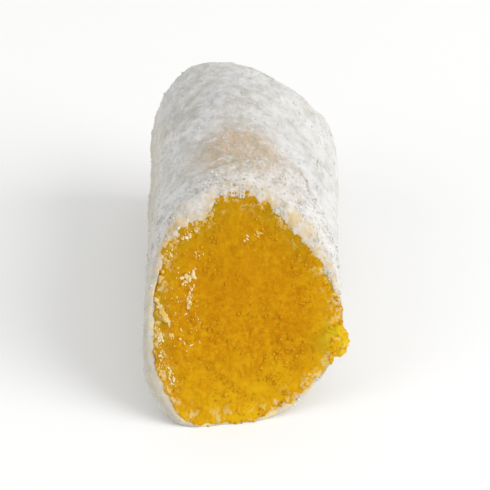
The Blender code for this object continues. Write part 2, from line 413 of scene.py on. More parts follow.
def add_mesh(name, points, faces, material, attributes):
    """A smooth-shaded piece whose faces look outward, with a value at each point for each attribute."""
    mesh = bpy.data.meshes.new(name)
    mesh.from_pydata(points.tolist(), [], [face for group in faces for face in group.tolist()])
    shell = bmesh.new()
    shell.from_mesh(mesh)
    bmesh.ops.recalc_face_normals(shell, faces=shell.faces)
    shell.to_mesh(mesh)
    shell.free()
    for key, values in attributes.items():
        mesh.attributes.new(key, "FLOAT", "POINT").data.foreach_set("value", values.astype(np.float32))
    mesh.shade_smooth()
    mesh.materials.append(material)
    obj = bpy.data.objects.new(name, mesh)
    bpy.context.scene.collection.objects.link(obj)
    return obj


def normals_of(rings, centre_line):
    """Unit normals of a grid of rings, away from points on its centre line."""
    down = np.gradient(rings, axis=0)
    around = np.roll(rings, -1, axis=1) - np.roll(rings, 1, axis=1)
    normal = np.cross(down, around)
    normal /= np.linalg.norm(normal, axis=-1, keepdims=True) + 1e-12
    inward = np.sum(normal * (rings - centre_line), axis=-1, keepdims=True) < 0
    return np.where(inward, -normal, normal)


# The sugar coat


def coat_angles():
    """Angles round the stick, closer together on the upper side."""
    even = np.linspace(0, 2 * math.pi, 2000)
    crowded = even + 0.45 * (1 - np.cos(even))
    return np.interp(np.arange(COAT_COLUMNS) * 2 * math.pi / COAT_COLUMNS, crowded, even)


def face_radius(angle, coat_radius):
    """Radius of the paste's shown face, out to the sugar's rim."""
    ring = np.stack([np.cos(angle), np.sin(angle), np.zeros_like(angle)], axis=-1) * coat_radius[..., None]
    ragged = rough(ring.reshape(-1, 3), 2.4 * MM, 4, 5).reshape(angle.shape)
    return coat_radius - round_the_cut(RIM_WIDTHS, angle) + 0.25 * MM * ragged


def coat_marks(points):
    """Masks over the coat: the crumbly collar behind the cut, the beige damp patch, the thin sugar low down,
    which also carries painted shade, and painted light on the right side. The last value is the distance
    behind the collar's end."""
    behind = behind_cut(points)
    x, z = points[:, 0] - AXIS_X, points[:, 2] - AXIS_Z
    ends = round_the_cut(COLLAR_ENDS, np.arctan2(z, x))
    past = behind - ends + 0.35 * MM * waves(points, 2.6 * MM, 3)
    upper = smoothstep(-0.35, 0.55, (z + 0.35 * x) / AXIS_Z)
    band = upper * (1 - smoothstep(-1.2 * MM, 0.3 * MM, past))
    length = np.where(behind < 8.5 * MM, 4.4 * MM, 3.4 * MM)
    patch = bell(behind, 8.5 * MM, length) * bell(x, -0.1 * MM, 4.0 * MM) * smoothstep(0.2, 0.8, z / AXIS_Z)
    damp = np.clip(1.75 * patch + 0.30 * smoothstep(0.25, 0.8, waves(points, 6.5 * MM, 4)), 0, 1)
    # Thin sugar low down, and painted shade on the lower left side
    thin_and_shade = 1 - smoothstep(-0.7, 0.5, (z + 0.5 * x + 0.5 * np.maximum(x, 0)) / AXIS_Z)
    # Painted light: a mask that whitens the right side
    thick = smoothstep(0.15, 0.75, x / AXIS_Z) * smoothstep(-0.6, 0.2, z / AXIS_Z)
    return band, damp, thin_and_shade, thick, past


def coat_relief(points, band, past, far):
    """How far the caked sugar stands out, with its pits, its crease and its holes sunk in, and a mask that
    paints shade into those pits, that crease and those holes.
    """
    upper = smoothstep(-0.1, 0.5, (points[:, 2] - AXIS_Z) / AXIS_Z)
    caked = smoothstep(-0.20, 0.45, rough(points, 2.3 * MM, 3, 1))
    round_stick = np.array((4.5, 0.9, 4.5)) * MM
    streaks = rough(points, round_stick, 2, 2)
    powder = rough(points, 1.25 * MM, 3, 7)
    dust = rough(points, 0.5 * MM, 2, 15)
    nearest, own = grains(points, 0.85 * MM, 2)
    lumps = np.maximum(0, 1 - (nearest / (0.25 + 0.35 * own)) ** 2) * (own > 0.6)
    fine, fine_own = grains(points, 0.42 * MM, 6)
    specks = np.maximum(0, 1 - (fine / 0.5) ** 2) * fine_own
    relief = 0.085 * caked + 0.020 * streaks + 0.075 * powder + (0.028 + 0.022 * band) * dust
    relief += (0.04 + 0.09 * band) * lumps + (0.012 + 0.060 * band) * specks
    pits = smoothstep(0.50, 0.80, rough(points, 0.95 * MM, 2, 8)) * (0.07 + 0.15 * band + 0.30 * far)
    collar = 0.16 * (1 - smoothstep(-0.35 * MM, 0.15 * MM, past)) + 0.14 * bell(past, -0.40 * MM, 0.45 * MM)
    angle = np.degrees(np.arctan2(points[:, 2] - AXIS_Z, points[:, 0] - AXIS_X))
    patchy = 0.15 + 0.35 * smoothstep(-0.35, 0.4, waves(points, 3.4 * MM, 9))
    patchy = np.maximum(patchy, np.maximum(bell(angle, 103, 13), 0.9 * bell(angle, 44, 17)))
    crease = 0.30 * upper * patchy * bell(past, 0.62 * MM, 0.46 * MM)
    nearest, own = grains(points, 3.1 * MM, 13)
    holes = far * (own > 0.5) * (1 - smoothstep(0.10, 0.34, nearest))
    crags = far * (0.28 * rough(points, 1.9 * MM, 4, 12) + 0.14 * specks + 0.10 * dust) - 0.60 * holes
    # The second value paints shade into the pits, along the crease and into the holes
    return (relief + collar * upper + crags - crease - pits) * MM, pits + 1.5 * crease + 0.5 * holes


def rim_rings(angles, coat_radius):
    """Rings over the sugar's rim, round its outer edge, across it and in under the paste, and how far behind
    the cut the outermost ring lies."""
    shown = face_radius(angles, coat_radius)
    width = np.maximum(coat_radius - shown, 0.12 * MM)
    from_round = (angles - ROUNDED_AT + math.pi) % (2 * math.pi) - math.pi
    depth = (0.38 + 0.75 * bell(from_round, 0, ROUNDED_WIDTH)) * MM
    rings = []
    for step in range(1, RIM_ROUND_RINGS + 1):
        phase = math.pi / 2 * step / RIM_ROUND_RINGS
        radius = coat_radius - 0.6 * width * (1 - math.cos(phase))
        rings.append(on_cut(angles, radius, -depth * (1 - math.sin(phase)) + 0.06 * MM))
    crest = coat_radius - 0.6 * width
    inner = shown - 0.5 * MM
    for step in range(1, RIM_FLAT_RINGS + 1):
        share = step / RIM_FLAT_RINGS
        rings.append(on_cut(angles, crest + (inner - crest) * share, (0.06 - 0.34 * share**1.5) * MM))
    return np.stack(rings), depth


def coat_outside(angles):
    """Rings of points over the coat's rim and outside, the middle of its far end, the unit normals of the
    rings, and the coat's radius at the cut."""
    wall, pole = read_stick("sugar_coat", angles, COAT_WALL_RINGS, COAT_END_RINGS, COAT_START, COAT_PASSES)
    coat_radius = np.hypot(wall[0, :, 0] - AXIS_X, wall[0, :, 2] - AXIS_Z)
    rim, depth = rim_rings(angles, coat_radius)
    wall[..., 1] += (depth - COAT_START)[None, :] * np.clip(1 - behind_cut(wall) / (3 * MM), 0, 1)
    outer = np.concatenate([rim[::-1], wall])
    middle = outer.copy()
    middle[..., 0], middle[..., 2] = AXIS_X, AXIS_Z
    middle[..., 1] = np.clip(middle[..., 1], None, wall[..., 1].max() - HUB_DEPTH) + 1.0 * MM
    return outer, pole, normals_of(outer, middle), coat_radius


def far_end(points):
    """A mask over the rough far end, with an uneven edge."""
    far_y = points[:, 1].max()
    uneven = points[:, 1] + 0.7 * MM * waves(points, 3.5 * MM, 16)
    return smoothstep(far_y - 2.6 * MM, far_y - 0.8 * MM, uneven)


def rim_stain(outer, angles, coat_radius):
    """Where paste has soaked into the sugar's rim, furthest on its upper side, its two shoulders and its
    lower right."""
    across, up = outer[..., 0] - AXIS_X, outer[..., 2] - AXIS_Z
    from_paste = np.hypot(across, up) - face_radius(angles, coat_radius)
    low_right = smoothstep(0, 4.0 * MM, across) * smoothstep(0, 4.0 * MM, -up)
    degrees = np.degrees(np.arctan2(up, across))
    shoulders = np.clip(bell(degrees, 38, 13) + bell(degrees, 130, 15), 0, 1)
    upper = smoothstep(-1.0 * MM, 5.0 * MM, up)
    width = (0.60 + 1.50 * upper + 1.20 * low_right + 0.90 * shoulders) * MM
    stain = 1 - smoothstep(0.05, 1.0, from_paste / width)
    stain *= 1 - smoothstep(0.4 * MM, (1.6 + 1.2 * shoulders) * MM, behind_cut(outer))
    blotched = 0.35 + 0.65 * smoothstep(-0.4, 0.4, rough(outer.reshape(-1, 3), 1.1 * MM, 3, 17))
    return stain.ravel() * np.maximum(blotched, np.maximum(low_right, 0.9 * shoulders).ravel())


def coat_faces(rings, columns):
    """Faces of the coat: its outside, its inside, the strip that joins them at the rim, and both far ends."""
    inner_rings = sum(INNER_RINGS)
    inner_start, inner_end = rings * columns, (rings + inner_rings) * columns
    sides = np.stack([np.arange(columns), (np.arange(columns) + 1) % columns], axis=-1)
    return [
        ring_faces(0, rings, columns),
        ring_faces(inner_start, inner_rings, columns),
        np.concatenate([sides, inner_start + sides[:, ::-1]], axis=-1),
        fan_faces(inner_start - columns, columns, inner_end),
        fan_faces(inner_end - columns, columns, inner_end + 1),
    ]


def make_coat(material):
    """The coat, with its rings of points, their normals and the mask of its collar."""
    angles = coat_angles()
    outer, pole, normal, coat_radius = coat_outside(angles)
    points = outer.reshape(-1, 3)
    far = far_end(points)
    band, damp, thin_and_shade, thick, past = coat_marks(points)
    relief, pits = coat_relief(points, band, past, far)
    to_the_right = smoothstep(-8.0 * MM, -0.5 * MM, points[:, 0] - AXIS_X)
    marks = {
        # The collar's real white band, weighted towards the right as painted light
        "band": band * (0.35 + 0.65 * to_the_right),
        "damp": damp,
        # Thin sugar and painted shade on the lower left
        "thin_and_shade": thin_and_shade,
        # Painted light on the right side
        "thick": thick,
        "stain": rim_stain(outer, angles, coat_radius),
        "far": far * (0.40 + 0.60 * smoothstep(-0.35, 0.35, rough(points, 3.0 * MM, 3, 18))),
        # Painted shade in the pits, along the crease and in the holes
        "pits": pits,
    }
    tucked = np.ones(len(outer))
    tucked[:3] = (0.0, 0.35, 0.7)
    calm = smoothstep(0.0, 1.2 * MM, points[:, 2]) * np.repeat(tucked, len(angles))
    points = points + normal.reshape(-1, 3) * (relief * calm)[:, None]
    points[:, 2] = np.maximum(points[:, 2], COAT_LOWEST)
    lining = *INNER_RINGS, LINING_START, LINING_PASSES, WALL_GAP / 2
    inner, inner_pole = read_stick("yolk_paste", angles, *lining)
    all_points = np.concatenate([points, inner.reshape(-1, 3), pole, inner_pole])
    rest = np.zeros(len(all_points) - len(points))
    attributes = {key: np.concatenate([values, rest]) for key, values in marks.items()}
    coat = add_mesh("sugar_coat_surface", all_points, coat_faces(*outer.shape[:2]), material, attributes)
    return coat, points.reshape(outer.shape), normal, band.reshape(outer.shape[:2])


# The yolk paste


def disc(cells):
    """Angle and share of the radius for a square grid of points that is bent into a disc."""
    u, v = np.meshgrid(np.linspace(-1, 1, cells + 1), np.linspace(-1, 1, cells + 1), indexing="ij")
    wide = np.abs(u) > np.abs(v)
    share = np.maximum(np.abs(u), np.abs(v))
    low = np.where(wide, v, u) / np.maximum(share, 1e-9) * np.where(wide, np.sign(u), np.sign(v))
    side = np.where(wide, np.where(u > 0, 0, math.pi), np.where(v > 0, math.pi / 2, -math.pi / 2))
    turned = np.where(wide, low, -low) * math.pi / 4
    return (side + turned + math.pi) % (2 * math.pi) - math.pi, share


def disc_border(cells):
    """Indices of the grid's border points, in order round it."""
    index = np.arange((cells + 1) ** 2).reshape(cells + 1, cells + 1)
    return np.concatenate([index[:-1, 0], index[-1, :-1], index[:0:-1, -1], index[0, :0:-1]])


def disc_faces(cells):
    """Quads between the points of the grid."""
    index = np.arange((cells + 1) ** 2).reshape(cells + 1, cells + 1)
    return np.stack([index[:-1, :-1], index[1:, :-1], index[1:, 1:], index[:-1, 1:]], axis=-1).reshape(-1, 4)


def paste_relief(points, rim_share):
    """How far the grain of the paste stands out at the cut, with the grain's own number and its pits, whose
    mask also paints shade into them.
    """
    crumbly = 0.45 + 0.55 * smoothstep(-0.35, 0.45, rough(points, 3.4 * MM, 2, 21) + 0.9 * rim_share)
    bent = np.stack([rough(points, 0.7 * MM, 2, 34 + i) for i in range(3)], axis=-1)
    warped = points + 0.16 * MM * bent
    knob, own = knobs(warped, 0.62 * MM, 3)
    small, small_own = knobs(warped, 0.30 * MM, 8)
    drag = rough(points, np.array((0.6, 2.4, 2.4)) * MM, 2, 22)
    pits = smoothstep(0.50, 0.95, rough(points, 0.80 * MM, 2, 23))
    relief = crumbly * (0.090 * knob * (0.30 + 0.70 * own) + 0.060 * small * small_own)
    relief += 0.020 * drag + 0.035 * rough(points, 1.3 * MM, 4, 24) - 0.06 * crumbly * pits
    return relief * MM, 0.6 * own + 0.4 * small_own, pits


def base_heights(tree, angle, radius, border):
    """Height of the solid's face over the plane of the cut."""
    inside = np.minimum(radius, READ_SHARE * border)
    starts = on_cut(angle, inside, np.full(angle.shape, FACE_RAY_START)).reshape(-1, 3)
    down = -Vector(OUT)
    heights = [FACE_RAY_START - tree.ray_cast(Vector(start), down)[3] for start in starts]
    return np.array(heights).reshape(angle.shape)


def soften_sheet(sheet, passes):
    """Evens out a grid of numbers with open edges."""
    for _ in range(passes):
        for axis in (0, 1):
            first, last = np.take(sheet, [0], axis), np.take(sheet, [-1], axis)
            padded = np.concatenate([first, sheet, last], axis)
            count = padded.shape[axis]
            before, here, after = (np.take(padded, range(i, count - 2 + i), axis) for i in range(3))
            sheet = (before + 2 * here + after) / 4
    return sheet


def smear_crumb():
    """Points, faces and masks of the crumb of paste dragged over the lower right of the rim."""
    points, faces = ball(SMEAR_SUBDIVISIONS)
    spread = points * SMEAR_HALF_SIZE
    knob, own = knobs(spread, 0.75 * MM, 31)
    small, small_own = knobs(spread, 0.34 * MM, 34)
    knob, small = knob * (0.30 + 0.70 * own), small * small_own
    lumps = 0.90 + 0.13 * rough(spread, 1.5 * MM, 3, 32) + 0.15 * knob + 0.09 * small
    spread = spread * lumps[:, None]
    patches = smoothstep(-0.35, 0.35, rough(spread, 0.9 * MM, 3, 33))
    sugared = smoothstep(-0.1, 0.5, rough(spread, 0.7 * MM, 3, 36))
    # Painted shade between the crumb's knobs: darker and less lemon there
    hollow = smoothstep(0.50, 0.12, knob + 0.5 * small)
    yellow = smoothstep(-1.5, 0.2, points[:, 0])
    marks = {
        "grain": own,
        "pits": hollow,
        "lemon": yellow * (0.60 + 0.40 * patches) * (1 - 0.55 * hollow),
        "smear": yellow * (1 - 0.75 * patches),
        "frost": 0.85 * smoothstep(0.1, 0.9, points[:, 0]) * sugared,
    }
    centre = on_cut(np.array(SMEAR_ANGLE), np.array(SMEAR_RADIUS), np.array(SMEAR_HEIGHT))
    return spread + centre, faces, marks


def face_outline(coat_ring, angle):
    """Radius of the paste's shown face at each angle, from the coat's ring at the cut."""
    coat_angle = np.arctan2(coat_ring[:, 2] - AXIS_Z, coat_ring[:, 0] - AXIS_X)
    coat_radius = np.hypot(coat_ring[:, 0] - AXIS_X, coat_ring[:, 2] - AXIS_Z)
    order = np.argsort(coat_angle)
    return face_radius(angle, np.interp(angle, coat_angle[order], coat_radius[order], period=2 * math.pi))


def face_marks(plane, out_share, rim_share):
    """Masks over the face: lemon low down, on the right and by the crumb, sugar at the rim, mustard high up,
    olive along the upper left rim, deep orange above the middle, and the smear by the crumb."""
    across, up = plane[:, 0] - AXIS_X, plane[:, 2] - AXIS_Z
    near_crumb = bell(across, 9.3 * MM, 1.5 * MM) * bell(up, -3.2 * MM, 1.6 * MM)
    patches = 0.5 + 0.5 * smoothstep(-0.3, 0.4, rough(plane, 1.6 * MM, 3, 26))
    lemon = 0.70 * smoothstep(-2.5 * MM, -9.0 * MM, up) + 0.35 * smoothstep(5.5 * MM, 9.5 * MM, across)
    sugared = smoothstep(0.10, 0.45, rough(plane, 1.0 * MM, 4, 27) + 0.20 * (across < -4 * MM))
    upper_left = smoothstep(-4.0 * MM, 3.0 * MM, up - 0.5 * across)
    return {
        "lemon": np.clip(lemon * patches + 0.45 * near_crumb, 0, 1),
        "frost": rim_share * sugared,
        "mustard": smoothstep(1.0 * MM, 8.0 * MM, up),
        "olive": smoothstep(0.66, 0.97, out_share) * upper_left * patches,
        "deep": bell(across, 0.6 * MM, 5.0 * MM) * bell(up, 3.2 * MM, 3.8 * MM),
        "smear": 0.5 * near_crumb,
    }


def paste_faces(loop, face_count, body_count):
    """Faces of the paste: its face, the strip from there to its sides, its sides and its far end."""
    columns = len(loop)
    beside = np.roll(np.arange(columns), -1)
    return [
        disc_faces(FACE_CELLS),
        np.stack([loop, loop[beside], face_count + beside, face_count + np.arange(columns)], axis=-1),
        ring_faces(face_count, sum(INNER_RINGS), columns),
        fan_faces(face_count + body_count - columns, columns, face_count + body_count),
    ]


def make_paste(material, coat_ring):
    """The paste, with the grid of points of its face and their radius from the axis."""
    angle, share = disc(FACE_CELLS)
    shown = face_outline(coat_ring, angle)
    border = shown + TUCKED_UNDER
    radius = share * border
    plane = on_cut(angle, radius).reshape(-1, 3)
    heights = base_heights(tree_of("yolk_paste"), angle, radius, border)
    heights = soften_sheet(heights, FACE_PASSES).ravel()
    out_share = (radius / shown).ravel()
    rim_share = smoothstep(0.80, 0.99, out_share)
    relief, own, pits = paste_relief(plane, rim_share)
    marks = {"grain": own, "pits": pits, "height": relief / MM} | face_marks(plane, out_share, rim_share)
    torn = 0.05 + 0.22 * smoothstep(-0.4, 0.4, rough(plane, 2.2 * MM, 2, 28))
    frayed = (radius - shown).ravel() + torn * MM * rough(plane, 0.85 * MM, 4, 25)
    drop = 0.55 * MM * smoothstep(-0.05 * MM, 0.30 * MM, frayed)
    swell = (0.10 * rim_share + marks["smear"] + 0.05 * marks["frost"]) * MM
    face = plane + OUT * (heights + relief + swell - drop)[:, None]
    face[:, 2] = np.maximum(face[:, 2], FACE_LOWEST)
    loop = disc_border(FACE_CELLS)
    body, pole = read_stick("yolk_paste", angle.ravel()[loop], *INNER_RINGS, BODY_START, BODY_PASSES)
    body = body.reshape(-1, 3)
    crumb, crumb_faces, crumb_marks = smear_crumb()
    points = np.concatenate([face, body, pole, crumb])
    faces = paste_faces(loop, len(face), len(body))
    faces.append(crumb_faces + len(points) - len(crumb))
    none, plain = np.zeros(len(body) + 1), np.zeros(len(crumb))
    attributes = {}
    for key, values in marks.items():
        attributes[key] = np.concatenate([values, none, crumb_marks.get(key, plain)])
    paste = add_mesh("yolk_paste_surface", points, faces, material, attributes)
    return paste, face.reshape(angle.shape + (3,)), radius


# Loose crumbs


def lying_turns(random, count, tilts):
    """Turns that lay a flake on the cut, with its long side up the face and tilted by so many radians."""
    side = np.cross(OUT, (0, 0, 1))
    side /= np.linalg.norm(side)
    up = np.cross(side, OUT)
    turned = tilts + random.normal(0, 0.45, count)
    first = up * np.cos(turned)[:, None] + side * np.sin(turned)[:, None]
    return np.stack([first, np.cross(OUT, first), np.broadcast_to(OUT, first.shape)], axis=-1)


def make_crumbs(name, places, normals, sizes, long, seed, material, tilts=None):
    """One mesh of many small lumps, each turned its own way, squashed and uneven, and sunk a little in what
    it lies on. With tilts they are flakes that lie on the cut."""
    random = np.random.default_rng(seed)
    template, faces = ball(CRUMB_SUBDIVISIONS)
    count = len(places)
    stretch = random.uniform(0.65, 1.15, (count, 3))
    stretch[:, 0] *= random.uniform(1, long, count)
    if tilts is None:
        turns = np.linalg.qr(random.normal(size=(count, 3, 3)))[0]
    else:
        turns = lying_turns(random, count, tilts)
        stretch[:, 2] *= 0.55
    lumps = 1 + 0.22 * random.normal(size=(count, len(template), 1)).clip(-1.6, 1.6)
    shapes = template[None] * lumps * stretch[:, None, :]
    shapes = np.einsum("nij,nkj->nki", turns, shapes) * sizes[:, None, None]
    points = shapes + (places + normals * (0.25 * sizes)[:, None])[:, None, :]
    points[..., 2] = np.maximum(points[..., 2], CRUMB_LOWEST)
    all_faces = faces[None] + (np.arange(count) * len(template))[:, None, None]
    tones = {"tone": np.repeat(random.random(count), len(template))}
    return add_mesh(name, points.reshape(-1, 3), [all_faces.reshape(-1, 3)], material, tones)


def pick(weights, count, seed):
    """Different points, chosen by their weights."""
    random = np.random.default_rng(seed)
    return random.choice(len(weights), count, replace=False, p=weights / weights.sum())


def crumb_radii(random, count, middle, spread, least, most):
    """Radii of that many crumbs round a middle one, from a least to a most in millimetres."""
    return random.lognormal(math.log(middle), spread, count).clip(least, most) * MM


def coat_crumbs(rings, normals, band, material):
    """Clumps of powder on the coat, thickest on the band behind the cut and on its edge."""
    places, out = rings.reshape(-1, 3), normals.reshape(-1, 3)
    behind = behind_cut(places)
    patches = smoothstep(-0.1, 0.6, rough(places, 2.8 * MM, 2, 41))
    edge = bell(behind, 0.2 * MM, 0.7 * MM)
    weights = (0.10 + 0.9 * patches) * (0.25 + 1.0 * band.ravel() + 1.6 * edge)
    weights *= (places[:, 2] > 1.0 * MM) & (np.arange(len(places)) > 3 * rings.shape[1])
    pick_seed, size_seed, shape_seed = CLUMP_SEEDS
    chosen = pick(weights, CLUMPS, pick_seed)
    sizes = crumb_radii(np.random.default_rng(size_seed), CLUMPS, CLUMP_RADIUS, 0.40, 0.03, 0.20)
    return make_crumbs("powder_clumps", places[chosen], out[chosen], sizes, 1.5, shape_seed, material)


def face_crumbs(face, shown, material):
    """Sugar that the knife dragged over the left of the face and left along its upper edge."""
    place_seed, shape_seed = DRAGGED_SEEDS
    random = np.random.default_rng(place_seed)
    tree = KDTree(face.size // 3)
    for index, place in enumerate(face.reshape(-1, 3)):
        tree.insert(Vector((place[0], 0, place[2])), index)
    tree.balance()
    chosen, tilts, scales = [], [], []
    for (across, up), (half_across, half_up), tilt, count, scale in DRAGGED:
        turn = math.radians(tilt)
        along, aside = random.normal(0, 0.6, (2, count))
        x = across + half_up * along * math.sin(turn) + half_across * aside * math.cos(turn)
        z = up - half_up * along * math.cos(turn) + half_across * aside * math.sin(turn)
        for place_x, place_z in zip(x, z):
            spot = Vector((AXIS_X + place_x * MM, 0, AXIS_Z + place_z * MM))
            index = tree.find(spot)[1]
            if shown.flat[index]:
                chosen.append(index)
                tilts.append(turn)
                scales.append(scale)
    sizes = crumb_radii(random, len(chosen), DRAGGED_RADIUS, 0.45, 0.03, 0.22) * np.array(scales)
    places, out = face.reshape(-1, 3)[chosen], np.broadcast_to(OUT, (len(chosen), 3))
    return make_crumbs("sugar_crumbs", places, out, sizes, 2.4, shape_seed, material, np.array(tilts))


def paste_crumbs(face, radius, material):
    """Granules of paste that the knife pulled up on the face, most of them near its edge."""
    places = face.reshape(-1, 3)
    edge_share = (radius / radius.max()).ravel()
    clusters = smoothstep(-0.1, 0.6, rough(places, 3.0 * MM, 2, 45))
    weights = (0.10 + clusters) * (0.25 + smoothstep(0.86, 0.97, edge_share)) * (edge_share < 0.99)
    pick_seed, size_seed, shape_seed = GRANULE_SEEDS
    chosen = pick(weights, GRANULES, pick_seed)
    sizes = crumb_radii(np.random.default_rng(size_seed), GRANULES, GRANULE_RADIUS, 0.35, 0.04, 0.22)
    out = np.broadcast_to(OUT, (GRANULES, 3))
    return make_crumbs("paste_granules", places[chosen], out, sizes, 1.4, shape_seed, material)


# Materials


class Graph:
    """A material's nodes, with short ways to add them."""

    def __init__(self, name):
        self.material = bpy.data.materials.new(name)
        self.material.use_nodes = True
        self.tree = self.material.node_tree
        self.shader = self.tree.nodes["Principled BSDF"]
        self.place = self.add("TexCoord").outputs["Object"]

    def add(self, kind, inputs=None, **settings):
        """A node with its settings made and its inputs fed."""
        node = self.tree.nodes.new("ShaderNode" + kind)
        for key, value in settings.items():
            setattr(node, key, value)
        for key, value in (inputs or {}).items():
            self.feed(node.inputs[key], value)
        return node

    def feed(self, socket, value):
        """Links another node's output to a socket, or sets the socket's own value."""
        if isinstance(value, bpy.types.NodeSocket):
            self.tree.links.new(value, socket)
        else:
            socket.default_value = value

    def set(self, **values):
        """Feeds the shader's sockets, by their names with _ for a space."""
        for key, value in values.items():
            self.feed(self.shader.inputs[key.replace("_", " ")], value)

    def math(self, operation, a, b, clamp=False):
        return self.add("Math", {0: a, 1: b}, operation=operation, use_clamp=clamp).outputs[0]

    def times(self, a, b):
        return self.math("MULTIPLY", a, b)

    def weighted(self, *pairs):
        """The sum of values, each times its weight."""
        parts = [self.times(value, weight) for value, weight in pairs]
        total = parts[0]
        for part in parts[1:]:
            total = self.math("ADD", total, part)
        return total

    def attribute(self, name):
        return self.add("Attribute", attribute_name=name).outputs["Fac"]

    def noise(self, length, detail=3.0, roughness=0.55, stretch=None):
        """Noise with waves of that length, drawn out along X, Y and Z where stretch is under 1."""
        place = self.place
        if stretch:
            place = self.add("Mapping", {"Vector": place, "Scale": stretch}).outputs["Vector"]
        inputs = {"Vector": place, "Scale": 1 / length, "Detail": detail, "Roughness": roughness}
        return self.add("TexNoise", inputs).outputs["Fac"]

    def cells(self, size):
        return self.add("TexVoronoi", {"Vector": self.place, "Scale": 1 / size}).outputs["Distance"]

    def between(self, value, low, high):
        """0 below low, 1 above high."""
        inputs = {"Value": value, "From Min": low, "From Max": high}
        return self.add("MapRange", inputs, interpolation_type="SMOOTHSTEP").outputs["Result"]

    def mix(self, share, a, b):
        node = self.add("Mix", data_type="RGBA")
        self.feed(node.inputs["Factor"], share)
        for name, value in (("A", a), ("B", b)):
            socket = next(s for s in node.inputs if s.name == name and s.type == "RGBA")
            self.feed(socket, value if isinstance(value, bpy.types.NodeSocket) else (*value, 1.0))
        return next(s for s in node.outputs if s.type == "RGBA")

    def lay(self, colour, mask, share, tint):
        """The colour with a tint laid over it, to that share where the mask is 1."""
        return self.mix(self.times(mask, share), colour, tint)

    def bump(self, height, distance, strength=1.0, normal=None):
        inputs = {"Height": height, "Distance": distance, "Strength": strength}
        if normal:
            inputs["Normal"] = normal
        return self.add("Bump", inputs).outputs["Normal"]


def sugar_material():
    """Caked icing sugar: chalky white, greyer and beige where it is thin on the lower left, with painted
    shade there, whiter on the right by painted light, beige where it has taken up moisture or paste, golden
    in patches of the far end, and painted shade in its pits, along its crease and in its holes."""
    g = Graph("icing_sugar_caked")
    large = g.noise(5.2 * MM, 3)
    middle = g.noise(1.5 * MM, 4, 0.62)
    fine = g.noise(0.42 * MM, 3, 0.6)
    streaks = g.noise(1.0 * MM, 3, 0.6, (0.22, 1.0, 0.22))
    tone = g.weighted((large, 0.50), (middle, 0.45), (streaks, 0.05))
    colour = g.mix(g.between(tone, 0.37, 0.63), SUGAR["grey"], SUGAR["white"])
    cool = g.between(g.noise(6.5 * MM, 2, 0.5, (1.0, 0.7, 1.0)), 0.50, 0.66)
    colour = g.lay(colour, cool, 0.45, SUGAR["cool"])
    # Thin sugar on the lower left, and painted shade on that side
    thin_and_shade = g.times(g.attribute("thin_and_shade"), g.between(middle, 0.12, 0.52))
    colour = g.lay(colour, thin_and_shade, 0.85, SUGAR["thin_and_shade"])
    mottle = g.noise(1.35 * MM, 4, 0.60)
    side = g.math("MAXIMUM", g.attribute("thin_and_shade"), g.attribute("thick"))
    blotchy = g.math("SUBTRACT", 1.0, g.times(side, 0.62))
    dark = g.times(g.between(mottle, 0.50, 0.66), blotchy)
    colour = g.lay(colour, dark, 0.55, SUGAR["dark"])
    light = g.times(g.between(mottle, 0.49, 0.35), blotchy)
    colour = g.lay(colour, light, 0.42, SUGAR["light"])
    # Painted light: the right side whiter
    thick = g.times(g.attribute("thick"), g.between(middle, 0.15, 0.60))
    colour = g.lay(colour, thick, 0.50, SUGAR["thick"])
    # The collar's white, stronger on the right as painted light
    colour = g.lay(colour, g.attribute("band"), g.between(middle, 0.30, 0.62), SUGAR["collar"])
    arcs = g.noise(0.8 * MM, 4, 0.65, (0.16, 1.0, 0.16))
    specks = g.times(g.between(fine, 0.50, 0.62), g.between(arcs, 0.50, 0.60))
    colour = g.lay(colour, specks, 0.50, SUGAR["speck"])
    damp = g.times(g.attribute("damp"), g.between(g.noise(1.1 * MM, 4, 0.65), 0.29, 0.52))
    blend = g.between(g.noise(0.9 * MM, 3, 0.6), 0.44, 0.56)
    colour = g.lay(colour, damp, 0.92, g.mix(blend, SUGAR["green_beige"], SUGAR["red_beige"]))
    brown = g.times(g.attribute("damp"), g.between(fine, 0.50, 0.62))
    colour = g.lay(colour, brown, 0.60, SUGAR["brown"])
    far = g.attribute("far")
    colour = g.lay(colour, far, g.between(middle, 0.30, 0.55), SUGAR["far"])
    golden = g.times(far, g.between(g.noise(1.7 * MM, 5, 0.7), 0.50, 0.62))
    colour = g.lay(colour, golden, 0.70, SUGAR["golden"])
    # Painted shade in the pits, along the crease and in the holes
    pits = g.math("MULTIPLY", g.attribute("pits"), 1.8, clamp=True)
    colour = g.mix(pits, colour, SUGAR["pit_shade"])
    stain = g.times(g.attribute("stain"), g.between(middle, 0.32, 0.56))
    peach = g.mix(g.attribute("thin_and_shade"), SUGAR["soaked"], SUGAR["cream"])
    colour = g.lay(colour, stain, 0.88, peach)
    colour = g.lay(colour, g.between(fine, 0.56, 0.74), 0.25, SUGAR["dull"])
    colour = g.lay(colour, g.between(fine, 0.36, 0.24), 0.4, SUGAR["bright"])
    normal = g.bump(g.noise(0.30 * MM, 5, 0.70), 0.10 * MM, 0.8)
    normal = g.bump(g.cells(0.16 * MM), 0.03 * MM, 0.6, normal)
    g.set(Base_Color=colour, Roughness=0.92, Normal=normal, Specular_IOR_Level=0.25)
    g.set(Subsurface_Weight=0.18, Subsurface_Scale=0.45 * MM, Subsurface_Radius=(1.0, 0.92, 0.8))
    g.set(Sheen_Weight=0.30, Sheen_Roughness=0.6)
    return g.material


